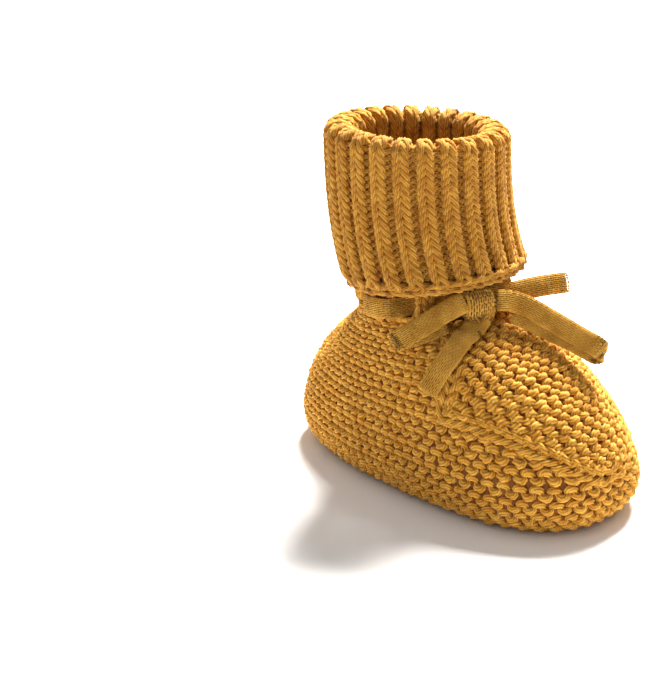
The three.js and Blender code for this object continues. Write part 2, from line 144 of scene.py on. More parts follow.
def tubes_to_object(name, tubes, material, sheets=(), under=None):
    """One mesh from many tubes and sheets; slot 1 holds painted shade: the dark sheet under the stitches,
    or the dark inside of a tape.

    Map "yarn" holds turns round and mm along. "OFBake" packs the tubes in strips, when there are no sheets.
    """
    verts, faces, pattern, places, shade = [], [], [], [], []
    start = 0
    caps, cap_shade = [], []
    for tube in tubes:
        n, sides, _ = tube.rings.shape
        verts.append(tube.rings.reshape(-1, 3))
        i = np.arange(n if tube.closed else n - 1)
        j = np.arange(sides)
        a, b = np.meshgrid(i, j, indexing="ij")
        a2 = (a + 1) % n
        b2 = (b + 1) % sides
        quads = np.stack([a * sides + b, a * sides + b2, a2 * sides + b2, a2 * sides + b], -1)
        faces.append(quads.reshape(-1, 4) + start)
        shade.append(np.full(a.size, int(tube.shadow)))
        ahead = tube.along[a2] if not tube.closed else np.where(
            a2 == 0, tube.along[-1] + np.linalg.norm(tube.rings[0].mean(0) - tube.rings[-1].mean(0)),
            tube.along[a2])
        here = tube.along[a]
        u0, u1 = b / sides, (b + 1) / sides
        corners = np.stack([np.stack([u0, here], -1), np.stack([u1, here], -1),
                            np.stack([u1, ahead], -1), np.stack([u0, ahead], -1)], -2)
        pattern.append(corners.reshape(-1, 4, 2))
        places.append(np.stack([a.reshape(-1), (b / sides).reshape(-1),
                                np.full(a.size, 1.0 / sides), np.full(a.size, n)], -1))
        if not tube.closed:
            caps.append(np.arange(sides)[::-1] + start)
            caps.append(np.arange(sides) + start + (n - 1) * sides)
            cap_shade += [int(tube.shadow)] * 2
        start += n * sides
    quads = np.concatenate(faces)
    pattern = np.concatenate(pattern)
    # bake strips: every ring of quads is one cell of a strip
    cell = np.concatenate([p[:, 0] + offset for p, offset in zip(
        places, np.concatenate([[0], np.cumsum([t.rings.shape[0] for t in tubes])[:-1]]))])
    around = np.concatenate([p[:, 1] for p in places])
    width = np.concatenate([p[:, 2] for p in places])
    total = cell.max() + 1
    strips = max(1, int(math.sqrt(total / 8)))
    per_strip = math.ceil(total / strips)
    row, column = cell // per_strip, cell % per_strip
    x0, x1 = column / per_strip, (column + 1) / per_strip
    y0 = (row + 0.04 + 0.92 * around) / strips
    y1 = (row + 0.04 + 0.92 * (around + width)) / strips
    bake = np.stack([np.stack([x0, y0], -1), np.stack([x0, y1], -1),
                     np.stack([x1, y1], -1), np.stack([x1, y0], -1)], -2)
    sheet_pattern = []
    sheet_faces = []
    for points, loops in sheets:
        verts.append(points)
        sheet_faces.append(loops + start)
        sheet_pattern.append(np.zeros((len(loops), 4, 2)))
        start += len(points)
    vertices = np.concatenate(verts) * MM
    all_quads = np.concatenate([quads] + sheet_faces) if sheet_faces else quads
    mesh = bpy.data.meshes.new(name)
    cap_loops = np.concatenate(caps) if caps else np.zeros(0, int)
    cap_sizes = np.array([len(c) for c in caps], int)
    loops = np.concatenate([all_quads.reshape(-1), cap_loops])
    sizes = np.concatenate([np.full(len(all_quads), 4), cap_sizes])
    starts = np.concatenate([[0], np.cumsum(sizes)[:-1]])
    mesh.vertices.add(len(vertices))
    mesh.vertices.foreach_set("co", vertices.astype(np.float32).reshape(-1))
    mesh.loops.add(len(loops))
    mesh.loops.foreach_set("vertex_index", loops.astype(np.int32))
    mesh.polygons.add(len(sizes))
    mesh.polygons.foreach_set("loop_start", starts.astype(np.int32))
    mesh.polygons.foreach_set("loop_total", sizes.astype(np.int32))
    mesh.polygons.foreach_set("use_smooth", np.ones(len(sizes), bool))
    spare = len(loops) - quads.size
    for layer, uv in (("yarn", pattern), ("OFBake", bake)):
        if layer == "OFBake" and sheet_faces:
            continue
        data = mesh.uv_layers.new(name=layer)
        flat = np.concatenate([uv.reshape(-1, 2), np.zeros((spare, 2))])
        data.data.foreach_set("uv", flat.astype(np.float32).reshape(-1))
    mesh.update(calc_edges=True)
    shade.append(np.ones(len(all_quads) - len(quads), int))
    shade.append(np.array(cap_shade, int))
    mesh.materials.append(material)
    mesh.materials.append(under or painted_shade_material)
    mesh.polygons.foreach_set("material_index", np.concatenate(shade).astype(np.int32))
    piece = bpy.data.objects.new(name, mesh)
    bpy.context.scene.collection.objects.link(piece)
    return piece


# ---- materials -----------------------------------------------------------------------------
# painted shade: how dark the base colour gets in the grooves between the plies
STRAND_SHADE = 0.5


def cotton(name, light, dark, ply_scale, bump_height, strands=0, roughness=0.78, sheen=0.16):
    """Mercerised cotton: fibres run along the plies, shade wanders from stitch to stitch."""
    material = bpy.data.materials.new(name)
    material.use_nodes = True
    nodes, links = material.node_tree.nodes, material.node_tree.links
    nodes.clear()
    output = nodes.new("ShaderNodeOutputMaterial")
    shader = nodes.new("ShaderNodeBsdfPrincipled")
    links.new(shader.outputs["BSDF"], output.inputs["Surface"])
    shader.inputs["Roughness"].default_value = roughness
    shader.inputs["Specular IOR Level"].default_value = 0.2
    shader.inputs["Sheen Weight"].default_value = sheen
    shader.inputs["Sheen Roughness"].default_value = 0.45
    shader.inputs["Sheen Tint"].default_value = (1.0, 0.8, 0.45, 1)
    place = nodes.new("ShaderNodeTexCoord")
    yarn_map = nodes.new("ShaderNodeUVMap")
    yarn_map.uv_map = "yarn"
    stretch = nodes.new("ShaderNodeMapping")
    stretch.inputs["Scale"].default_value = (ply_scale, 0.35, 1)
    links.new(yarn_map.outputs["UV"], stretch.inputs["Vector"])
    fibre = nodes.new("ShaderNodeTexNoise")
    fibre.inputs["Scale"].default_value = 1.0
    fibre.inputs["Detail"].default_value = 3
    fibre.inputs["Roughness"].default_value = 0.6
    links.new(stretch.outputs["Vector"], fibre.inputs["Vector"])
    patch = nodes.new("ShaderNodeTexNoise")
    patch.inputs["Scale"].default_value = 330
    patch.inputs["Detail"].default_value = 2
    links.new(place.outputs["Object"], patch.inputs["Vector"])
    speck = nodes.new("ShaderNodeTexNoise")
    speck.inputs["Scale"].default_value = 3200
    speck.inputs["Detail"].default_value = 2
    links.new(place.outputs["Object"], speck.inputs["Vector"])
    blend = nodes.new("ShaderNodeMath")
    blend.operation = "MULTIPLY_ADD"
    blend.inputs[1].default_value = 0.55
    links.new(fibre.outputs["Fac"], blend.inputs[0])
    links.new(patch.outputs["Fac"], blend.inputs[2])
    ramp = nodes.new("ShaderNodeValToRGB")
    ramp.color_ramp.elements[0].position = 0.55
    ramp.color_ramp.elements[0].color = (*dark, 1)
    ramp.color_ramp.elements[1].position = 0.98
    ramp.color_ramp.elements[1].color = (*light, 1)
    links.new(blend.outputs["Value"], ramp.inputs["Fac"])
    # painted shade: the base colour darkens towards the grooves between the plies
    if strands:
        parts = nodes.new("ShaderNodeSeparateXYZ")
        links.new(yarn_map.outputs["UV"], parts.inputs["Vector"])
        turn = nodes.new("ShaderNodeMath")
        turn.operation = "MULTIPLY"
        turn.inputs[1].default_value = 2 * math.pi * strands
        links.new(parts.outputs["X"], turn.inputs[0])
        wave = nodes.new("ShaderNodeMath")
        wave.operation = "COSINE"
        links.new(turn.outputs["Value"], wave.inputs[0])
        groove = nodes.new("ShaderNodeMapRange")
        groove.inputs["From Min"].default_value = -1.0
        groove.inputs["From Max"].default_value = 0.1
        groove.inputs["To Min"].default_value = STRAND_SHADE
        groove.inputs["To Max"].default_value = 1.0
        links.new(wave.outputs["Value"], groove.inputs["Value"])
        ply_groove_shade = nodes.new("ShaderNodeVectorMath")
        ply_groove_shade.operation = "SCALE"
        links.new(ramp.outputs["Color"], ply_groove_shade.inputs[0])
        links.new(groove.outputs["Result"], ply_groove_shade.inputs["Scale"])
        links.new(ply_groove_shade.outputs["Vector"], shader.inputs["Base Color"])
    else:
        links.new(ramp.outputs["Color"], shader.inputs["Base Color"])
    rough = nodes.new("ShaderNodeMapRange")
    rough.inputs["To Min"].default_value = roughness - 0.1
    rough.inputs["To Max"].default_value = roughness + 0.12
    links.new(speck.outputs["Fac"], rough.inputs["Value"])
    links.new(rough.outputs["Result"], shader.inputs["Roughness"])
    height = nodes.new("ShaderNodeMath")
    height.operation = "MULTIPLY_ADD"
    height.inputs[1].default_value = 0.45
    links.new(speck.outputs["Fac"], height.inputs[0])
    links.new(fibre.outputs["Fac"], height.inputs[2])
    bump = nodes.new("ShaderNodeBump")
    bump.inputs["Strength"].default_value = 0.9
    bump.inputs["Distance"].default_value = bump_height * MM
    links.new(height.outputs["Value"], bump.inputs["Height"])
    links.new(bump.outputs["Normal"], shader.inputs["Normal"])
    return material


YARN_LIGHT, YARN_DARK = (0.78, 0.40, 0.055), (0.53, 0.215, 0.015)
# painted shade: the cuff yarn is a darker copy of the foot yarn, standing in for the shade on the cuff
SHADED_RIB_LIGHT, SHADED_RIB_DARK = (0.62, 0.30, 0.038), (0.39, 0.15, 0.010)
TAPE_LIGHT, TAPE_DARK = (0.62, 0.33, 0.05), (0.44, 0.205, 0.02)
yarn_material = cotton("cotton_yarn", YARN_LIGHT, YARN_DARK, 26, 0.16, strands=PLIES)
tape_material = cotton("cotton_tape", TAPE_LIGHT, TAPE_DARK, 8, 0.05)
shaded_rib_material = cotton("cotton_rib_shaded", SHADED_RIB_LIGHT, SHADED_RIB_DARK, 26, 0.16, strands=PLIES)
# painted shade: the dark colour inside the flat tapes, seen between their stitches
tape_shade_material = cotton("tape_inside_shade", (0.27, 0.125, 0.018), (0.19, 0.08, 0.01), 8, 0.1)
# painted shade: the dark colour of the sheets under the stitches, standing in for the shade in the gaps
# between them
painted_shade_material = cotton("cotton_shadow", (0.20, 0.075, 0.010), (0.12, 0.040, 0.005), 8, 0.1)


# ---- surfaces ------------------------------------------------------------------------------
def foot_point(rise, turn):
    """rise -1 at the ground, 0 at the bulge, 1 at the eyelet band; turn in degrees from the toe."""
    rise, turn = np.broadcast_arrays(np.asarray(rise, float), np.asarray(turn, float))
    up = np.maximum(rise, 0)
    tuck = SOLE_TUCK * (1 - np.sqrt(np.maximum(1 - np.maximum(-rise, 0) ** TUCK_CURVE, 0)))
    half = mix(SOLE_WIDTH / 2, ANKLE_RADIUS, up ** SIDE_CURVE) - tuck
    rear = mix(SOLE_LENGTH / 2, ANKLE_Y + ANKLE_RADIUS, up ** HEEL_CURVE) - tuck
    toe = np.maximum(1 - up ** 2, 0) ** TOE_SHARPNESS
    front = mix(ANKLE_RADIUS - ANKLE_Y, SOLE_LENGTH / 2, toe) - tuck
    middle = mix(WIDEST_Y, ANKLE_Y, up * up)
    power = 2 / mix(WIDEST_SQUARENESS, 2, up)
    angle = np.radians(turn - 90)
    across = np.sign(np.cos(angle)) * np.abs(np.cos(angle)) ** power
    along = np.sign(np.sin(angle)) * np.abs(np.sin(angle)) ** power
    y = middle + along * np.where(along > 0, rear - middle, front + middle)
    z = np.where(rise < 0, BULGE_HEIGHT * (1 + rise),
                 mix(BULGE_HEIGHT, FOOT_TOP, up) - up * up * (y - ANKLE_Y) * TILT)
    return np.stack([half * across, y, z], -1)


def foot_normal(rise, turn):
    low = np.minimum(rise, 0.985)
    up = foot_point(low + 0.012, turn) - foot_point(low, turn)
    around = foot_point(rise, turn + 1.0) - foot_point(rise, turn - 1.0)
    return unit(np.cross(around, up))


def vamp_edge(turn):
    blunt = np.sqrt(turn * turn + TIP_ROUNDING * TIP_ROUNDING) - TIP_ROUNDING
    share = np.minimum(blunt / (VAMP_SIDE - TIP_ROUNDING), 1)
    return mix(VAMP_TIP_RISE, VAMP_SIDE_RISE, np.sin(share * np.pi / 2))


def cuff_point(share, radius, angle, rise=0.0):
    x, y = radius * np.cos(angle), radius * np.sin(angle)
    z = HEM_Z + CUFF_HEIGHT * share + rise - y * TILT * (1 - share) - x * LEAN * np.maximum(share, 0)
    back = CUFF_BACK * (1 - (1 - share) ** CUFF_BEND)
    return np.stack([x + 0 * z, HEM_Y + back + y, z], -1)


def band_point(radius, angle, rise=0.0):
    y = radius * np.sin(angle)
    return np.stack([radius * np.cos(angle) + 0 * y, ANKLE_Y + y, TIE_HEIGHT + rise - y * TILT], -1)


# ---- the tie: fine knitted tube, flattened -------------------------------------------------
TAPE_WALES = 12
TAPE_ROW = 1.4


def catmull(points, count):
    """The centripetal curve through points, at count even steps of its length."""
    p = np.array(points, float)
    p = np.concatenate([[2 * p[0] - p[1]], p, [2 * p[-1] - p[-2]]])
    knots = np.concatenate([[0], np.cumsum(np.linalg.norm(np.diff(p, axis=0), axis=1) ** 0.5)])
    out = []
    for k in range(1, len(p) - 2):
        t0, t1, t2, t3 = knots[k - 1:k + 3]
        t = np.linspace(t1, t2, 40, endpoint=False)[:, None]
        a1 = (t1 - t) / (t1 - t0) * p[k - 1] + (t - t0) / (t1 - t0) * p[k]
        a2 = (t2 - t) / (t2 - t1) * p[k] + (t - t1) / (t2 - t1) * p[k + 1]
        a3 = (t3 - t) / (t3 - t2) * p[k + 1] + (t - t2) / (t3 - t2) * p[k + 2]
        b1 = (t2 - t) / (t2 - t0) * a1 + (t - t0) / (t2 - t0) * a2
        b2 = (t3 - t) / (t3 - t1) * a2 + (t - t1) / (t3 - t1) * a3
        out.append((t2 - t) / (t2 - t1) * b1 + (t - t1) / (t2 - t1) * b2)
    fine = np.concatenate(out + [p[-2:-1]])
    long = np.concatenate([[0], np.cumsum(np.linalg.norm(np.diff(fine, axis=0), axis=1))])
    at = np.linspace(0, long[-1], count)
    return np.stack([np.interp(at, long, fine[:, i]) for i in range(3)], -1)


def length_of(path):
    return float(np.linalg.norm(np.diff(path, axis=0), axis=1).sum())


class Ribbon:
    """Places points in a flat tube: how far along (mm), turns round the section, height off it."""

    def __init__(self, points, width_direction, width=TAPE_WIDTH, thick=TAPE_THICKNESS, closed=False):
        self.line = catmull(points, 400)
        self.long = length_of(self.line)
        self.steps = np.linspace(0, self.long, len(self.line))
        tangent = unit(np.gradient(self.line, axis=0))
        if closed:
            tangent[0] = tangent[-1] = unit((tangent[0] + tangent[-1])[None])[0]
        directions = np.asarray(width_direction, float)
        if directions.ndim == 1:
            directions = np.broadcast_to(directions, tangent.shape)
        across = unit(directions - (directions * tangent).sum(1, keepdims=True) * tangent)
        self.across, self.out = across, np.cross(tangent, across)
        self.width = width if callable(width) else (lambda s: np.full_like(s, width))
        self.thick = thick if callable(thick) else (lambda s: np.full_like(s, thick))
        turn = np.linspace(0, 2 * np.pi, 721)
        x = np.sign(np.cos(turn)) * np.abs(np.cos(turn)) ** 0.8
        y = np.sign(np.sin(turn)) * np.abs(np.sin(turn)) ** 0.9
        ratio = TAPE_THICKNESS / TAPE_WIDTH
        walk = np.concatenate([[0], np.cumsum(np.hypot(np.diff(x), ratio * np.diff(y)))])
        self.walk, self.section = walk / walk[-1], np.stack([x, y], -1)

    def at(self, along, around, height):
        along, around, height = np.broadcast_arrays(along, around, height)
        share = around % 1.0
        x = np.interp(share, self.walk, self.section[:, 0])
        y = np.interp(share, self.walk, self.section[:, 1])
        width, thick = self.width(along), self.thick(along)
        nx, ny = x / width, y / np.maximum(thick, 0.2)
        norm = np.maximum(np.hypot(nx, ny), 1e-6)
        nx, ny = nx / norm, ny / norm
        base = np.stack([np.interp(along, self.steps, self.line[:, i]) for i in range(3)], -1)
        across = np.stack([np.interp(along, self.steps, self.across[:, i]) for i in range(3)], -1)
        out = np.stack([np.interp(along, self.steps, self.out[:, i]) for i in range(3)], -1)
        normal = across * nx[..., None] + out * ny[..., None]
        point = base + across * (x * width / 2)[..., None] + out * (y * thick / 2)[..., None]
        return point + normal * np.asarray(height)[..., None], normal


def tape_stitches(ribbon, start=0.0, stop=None, wales=TAPE_WALES, row=TAPE_ROW, radius=0.24, inset=0.26):
    """Plain stitches: each course is a ring of loops round the flat tube."""
    stop = ribbon.long if stop is None else stop
    courses = max(2, int(round((stop - start) / row)))
    row = (stop - start) / courses
    per = 10
    t = np.arange(wales * per) * 2 * np.pi / per
    tubes = []
    for course in range(courses):
        middle = start + (course + 0.5) * row
        around = (t / (2 * np.pi) + 0.12 * np.sin(2 * t)) / wales
        along = middle + 0.95 * row * np.cos(t)
        along = np.clip(along, start + 0.02, stop - 0.02)
        height = -inset - 0.16 * np.cos(2 * t)
        path, normal = ribbon.at(along, around, height)
        tubes.append(yarn(path, normal, radius, plies=3, twist=2.2, groove=0.85, closed=True))
    return tubes


def tape_shade_core(ribbon, start=0.0, stop=None, inset=0.7, sides=24, step=0.8):
    """Painted shade inside the flat tube: a dark sheet seen between the stitches, which also stops light
    passing between them.
    """
    stop = ribbon.long if stop is None else stop
    count = max(3, int((stop - start) / step))
    along = np.linspace(start, stop, count)
    around = np.arange(sides) / sides
    a, b = np.meshgrid(along, around, indexing="ij")
    points, _ = ribbon.at(a, b, np.full(a.shape, -inset))
    return Tube(points, along, shadow=True)


LOOP_RIGHT = [
    (-10.3, -10.0, 52.6), (-12.8, -8.7, 51.5), (-16.1, -7.4, 50.1), (-19.6, -5.8, 48.2),
    (-22.9, -4.1, 46.4), (-25.6, -2.4, 44.7), (-26.1, -1.7, 44.2), (-25.8, -0.9, 43.7),
    (-24.9, -0.5, 43.5), (-24.0, -0.7, 43.7), (-21.2, -2.9, 44.6), (-17.8, -5.1, 45.7),
    (-14.3, -7.0, 47.1),
]
LOOP_LEFT = [
    (-2.6, -14.0, 52.0), (0.4, -16.2, 51.5), (3.4, -19.9, 49.7), (6.0, -24.4, 47.1),
    (8.2, -29.3, 44.6), (10.0, -33.1, 42.6), (11.4, -35.6, 41.3), (12.6, -36.2, 39.6),
    (12.2, -34.5, 38.8), (10.7, -31.7, 40.3), (8.5, -27.6, 42.3), (5.8, -23.0, 44.5),
    (2.9, -19.2, 46.8), (0.8, -16.4, 48.2),
]
TAIL_LEFT = [
    (-2.8, -11.3, 52.2), (1.6, -13.5, 52.5), (6.2, -15.6, 53.0), (10.6, -17.2, 53.1),
    (14.4, -18.6, 53.0), (17.4, -19.8, 52.9),
]
TAIL_RIGHT = [
    (-9.0, -12.4, 46.2), (-11.0, -13.1, 45.7), (-13.6, -13.3, 45.2), (-16.8, -13.7, 43.6),
    (-19.8, -13.6, 41.2), (-22.3, -12.9, 38.3), (-24.3, -12.1, 35.2), (-25.4, -11.4, 33.2),
]
# inside the knot each tail winds before it comes out
KNOT_PLACE = band_point(KNOT_RADIUS, math.radians(KNOT_TURN - 90))
WIND_LEFT = [(-6.6, -8.0, 46.4), (-8.2, -9.6, 47.8), (-8.2, -11.9, 49.6), (-5.7, -12.4, 51.4)]
WIND_RIGHT = [(-4.6, -9.0, 53.6), (-5.0, -12.2, 52.4), (-6.0, -12.6, 49.0), (-7.2, -12.2, 46.9)]

TUBE_THICK = 2.1


def tie_piece(name, points, direction, body, node, wind=(), far_end="bare"):
    """A free end of the tie, from the knot out. A bare end opens like a tube."""
    ribbon = Ribbon(list(wind) + list(points), direction)
    long = ribbon.long
    opening = 1.0 if far_end == "bare" else 0.0
    ribbon.thick = lambda s: TUBE_THICK * (1 + 0.45 * opening * smooth(long - 6, long, s))
    tubes = [tape_shade_core(ribbon, stop=long - 0.5 * opening)] + tape_stitches(ribbon)
    piece = tubes_to_object(name, tubes, tape_material, under=tape_shade_material)
    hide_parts(node)
    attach(piece, body)
    return ribbon


tie_piece("loop_right_knit", LOOP_RIGHT, (-0.08, 0.56, 0.82), "loop_right", "tie_loop_right",
          far_end="object")
tie_piece("loop_left_knit", LOOP_LEFT, (0.48, 0, 0.88), "loop_left", "tie_loop_left",
          far_end="object")
tie_piece("tail_left_knit", TAIL_LEFT, (0.15, 0.38, 0.91), "tail_left", "tie_tail_left", WIND_LEFT)
tie_piece("tail_right_knit", TAIL_RIGHT, (0.45, -0.75, -0.49), "tail_right", "tie_tail_right",
          WIND_RIGHT)


def knit_piece(name, tubes, node, material=None, sheets=()):
    under = tape_shade_material if material is tape_material else painted_shade_material
    piece = tubes_to_object(name, tubes, material or yarn_material, sheets, under)
    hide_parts(node)
    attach(piece, "bootie")
    return piece


# ---- tie round the ankle, and the knot -----------------------------------------------------
def tape_radius(turn):
    from_toe = np.abs((turn + 180) % 360 - 180)
    crossing = math.degrees(EYELET_WIDTH / 2 / ANKLE_RADIUS) * 0.8
    outside = np.ones_like(from_toe)
    for k, eyelet in enumerate(EYELETS):
        passed = smooth(eyelet - crossing, eyelet + crossing, from_toe)
        outside = np.minimum(outside, 1 - passed) if k % 2 == 0 else np.maximum(outside, passed)
    return mix(TAPE_IN, TAPE_OUT, outside)


half_knot = math.degrees((KNOT_ACROSS / 2 + GAP) / TAPE_OUT)
run_turns = np.linspace(KNOT_TURN + half_knot, KNOT_TURN + 360 - half_knot, 150)
run_points = band_point(tape_radius(run_turns), np.radians(run_turns - 90))
run_ribbon = Ribbon(run_points, (0, 0, 1))
knit_piece("tie_run_knit", [tape_shade_core(run_ribbon)] + tape_stitches(run_ribbon), "tie_ankle_run",
           tape_material)

knot_angle = math.radians(KNOT_TURN - 90)
knot_out = np.array([math.cos(knot_angle), math.sin(knot_angle), 0])
knot_side = np.array([-math.sin(knot_angle), math.cos(knot_angle), 0])
wrap = np.linspace(0, 2 * np.pi, 25)
wrap_points = [KNOT_PLACE + knot_out * (KNOT_DEEP / 2 - 1.0) * math.cos(a)
               + np.array([0, 0, 1]) * (KNOT_HIGH / 2 - 0.9) * math.sin(a) for a in wrap + 2.2]
knot_ribbon = Ribbon(wrap_points, knot_side, width=KNOT_ACROSS + 0.9, thick=3.3, closed=True)
knit_piece("knot_knit", [tape_shade_core(knot_ribbon)] + tape_stitches(knot_ribbon),
           "tie_knot", tape_material)


# ---- garter stitch on the foot -------------------------------------------------------------
ROW = 1.8
YARN = 0.86
LOOP_HEIGHT = 1.08
LOOP_DEPTH = 0.72
LEG_DIP = 0.5
PER_STITCH = 18
TOE_STITCH, SIDE_STITCH, VAMP_STITCH, SOLE_STITCH = 4.4, 3.25, 3.8, 4.2

rise_steps = np.linspace(-0.999, 1.0, 600)
profile = sum(np.concatenate([[0], np.cumsum(np.linalg.norm(
    np.diff(foot_point(rise_steps, turn), axis=0), axis=1))]) for turn in (100.0, 140.0, 180.0)) / 3
ROWS = int(round((profile[-1] - 0.6) / ROW / 2)) * 2


def rise_of(row):
    """The level of a row counted from the sole."""
    return np.interp((np.asarray(row) + 0.45) / (ROWS + 0.45) * profile[-1], profile, rise_steps)


def stitch_width(y):
    return mix(TOE_STITCH, SIDE_STITCH, smooth(-14, -2, y))


def garter_path(count, sign, jitter=0.04, reach=LOOP_HEIGHT):
    """Loop shape along a row: fractions of stitches along, rows up, depth; heads lean by sign."""
    t = np.arange(count * PER_STITCH + 1) * 2 * np.pi / PER_STITCH
    stitch = np.minimum((np.arange(len(t)) + PER_STITCH // 2) // PER_STITCH, count)
    wide = 0.11 + 0.02 * rng.standard_normal(count + 1)[stitch]
    high = reach * (1 + jitter * rng.standard_normal(count + 1)[stitch])
    lift = 0.12 * rng.standard_normal(count + 1)[stitch]
    swing = np.cos(t)
    along = t / (2 * np.pi) + wide * np.sin(2 * t)
    up = high * np.sign(swing) * np.abs(swing) ** 0.65
    front = np.maximum(sign * swing, 0)
    out = sign * LOOP_DEPTH * swing - LEG_DIP * np.sin(t) ** 2 + lift * front
    size = YARN * (0.66 + 0.5 * front ** 0.6)
    return size, along, up, out


def foot_rows():
    """Yarn tubes for each wall of the foot, from rows that run all the way round."""
    walls = {"toe_wall": [], "side_wall_left": [], "side_wall_right": [], "heel_wall": []}
    for ridge in range(ROWS // 2 + 1):
        pair = [row for row in (2 * ridge - 1, 2 * ridge) if 0 <= row <= ROWS]
        level = rise_of(float(np.mean(pair)))
        turns = np.linspace(-180, 180, 1441)
        if level > VAMP_TIP_RISE - 0.01:
            inside = vamp_boundary(turns, level)
            edge = np.abs(turns[inside]).max() if inside.any() else 0
            turns = np.linspace(edge, 360 - edge, 1441)
        else:
            turns = np.linspace(0, 360, 1441)
        points = foot_point(level, turns)
        step = np.linalg.norm(np.diff(points, axis=0), axis=1)
        wide = stitch_width((points[1:, 1] + points[:-1, 1]) / 2)
        stitches = np.concatenate([[0], np.cumsum(step / wide)])
        count = int(round(stitches[-1]))
        stitches *= count / stitches[-1]
        for row in pair:
            sign = 1.0 if row % 2 == 1 else -1.0
            size, along, up, out = garter_path(count, sign)
            turn = np.interp(np.clip(along, 0, count), stitches, turns)
            rise = np.clip(rise_of(row + up), -0.97, 0.999)
            spacing = np.linalg.norm(foot_point(rise_of(row + 0.5), turns[::12])
                                     - foot_point(rise_of(row - 0.5), turns[::12]), axis=1)
            fill = np.clip(np.interp(turn, turns[::12], spacing) / ROW, 0.92, 1.45)
            size = size * fill
            depth = YARN * fill + LOOP_DEPTH * 0.9 - out
            place = foot_point(rise, turn)
            normal = foot_normal(rise, turn)
            path = place - normal * depth[:, None]
            path[:, 2] = np.maximum(path[:, 2], YARN)
            middle = np.interp(np.arange(count) + 0.5, stitches, turns) % 360
            owner = np.where((middle < VAMP_SIDE) | (middle > 360 - VAMP_SIDE), 0,
                             np.where(middle < HEEL_SIDE, 1, np.where(middle > 360 - HEEL_SIDE, 2, 3)))
            names = ["toe_wall", "side_wall_left", "side_wall_right", "heel_wall"]
            cuts = np.flatnonzero(np.diff(owner)) + 1
            for first, last in zip(np.concatenate([[0], cuts]), np.concatenate([cuts, [count]])):
                piece = slice(first * PER_STITCH, last * PER_STITCH + 1)
                walls[names[owner[first]]].append(
                    yarn(path[piece], normal[piece], size[piece], phase=any_turn()))
    return walls


def edge_turn(rise):
    """The vamp's side edge above where its lower edge ends."""
    share = np.clip((rise - VAMP_SIDE_RISE) / (1 - VAMP_SIDE_RISE), 0, 1)
    return mix(VAMP_SIDE, VAMP_AT_ANKLE, share ** VAMP_NARROWING)


def vamp_boundary(turns, level):
    """True where a level lies inside the vamp or its join."""
    if level >= VAMP_SIDE_RISE:
        return np.abs(turns) < edge_turn(level) + 2.5
    return (vamp_edge(np.abs(turns)) - 0.03 < level) & (np.abs(turns) < VAMP_SIDE)


def quad_loops(a, b, c, d):
    return np.stack([a, b, c, d], -1)


def painted_shade_sheet(place, normal, ring_closed, near, far):
    """A thin closed sheet under the stitches that carries painted shade, seen in the gaps between them:
    grids of points and normals.
    """
    rows, columns = place.shape[:2]
    points = np.concatenate([(place - normal * near).reshape(-1, 3), (place - normal * far).reshape(-1, 3)])
    index = np.arange(rows * columns).reshape(rows, columns)
    faces = []
    spans = columns if ring_closed else columns - 1
    j = np.arange(spans)
    k = (j + 1) % columns
    lower = rows * columns
    for i in range(rows - 1):
        faces.append(quad_loops(index[i, j], index[i, k], index[i + 1, k], index[i + 1, j]))
        faces.append(quad_loops(index[i, j], index[i + 1, j], index[i + 1, k], index[i, k]) + lower)
    faces.append(quad_loops(index[0, k], index[0, j], index[0, j] + lower, index[0, k] + lower))
    faces.append(quad_loops(index[-1, j], index[-1, k], index[-1, k] + lower, index[-1, j] + lower))
    if not ring_closed:
        i = np.arange(rows - 1)
        first, last = index[:, 0], index[:, -1]
        faces.append(quad_loops(first[i], first[i + 1], first[i + 1] + lower, first[i] + lower))
        faces.append(quad_loops(last[i + 1], last[i], last[i] + lower, last[i + 1] + lower))
    return points, np.concatenate(faces)


def foot_painted_shade(turns, low, high, rows=30, near=1.3, far=2.9):
    share = np.linspace(0, 1, rows)[:, None]
    rise = mix(low(turns)[None, :], high(turns)[None, :], share)
    turn = np.broadcast_to(turns[None, :], rise.shape)
    return painted_shade_sheet(foot_point(rise, turn), foot_normal(rise, turn), False, near, far)


def level(value):
    return lambda turns: np.full_like(turns, value)


walls = foot_rows()
toe_turns = np.linspace(-VAMP_SIDE, VAMP_SIDE, 49)
knit_piece("toe_knit", walls["toe_wall"], "toe_wall",
           sheets=[foot_painted_shade(toe_turns, level(-0.93), vamp_edge, near=1.15)])
side_turns = np.linspace(VAMP_SIDE, HEEL_SIDE, 20)
knit_piece("side_knit_left", walls["side_wall_left"], "side_wall_left",
           sheets=[foot_painted_shade(side_turns, level(-0.93), level(0.99))])
knit_piece("side_knit_right", walls["side_wall_right"], "side_wall_right",
           sheets=[foot_painted_shade(-side_turns[::-1], level(-0.93), level(0.99))])
heel_turns = np.linspace(HEEL_SIDE, 360 - HEEL_SIDE, 40)
knit_piece("heel_knit", walls["heel_wall"], "heel_wall",
           sheets=[foot_painted_shade(heel_turns, level(-0.93), level(0.99))])


# ---- vamp: rows run across the instep ------------------------------------------------------
VAMP_RIDGE = 3.45
crest_rise = np.linspace(VAMP_TIP_RISE, 0.998, 500)
crest = foot_point(crest_rise, 0.0)
crest_along = np.concatenate([[0], np.cumsum(np.linalg.norm(np.diff(crest, axis=0), axis=1))])
VAMP_ROWS = int(round((crest_along[-1] - 1.0) / (VAMP_RIDGE / 2) / 2)) * 2
ACROSS_STEPS = np.linspace(0, 1, 41)


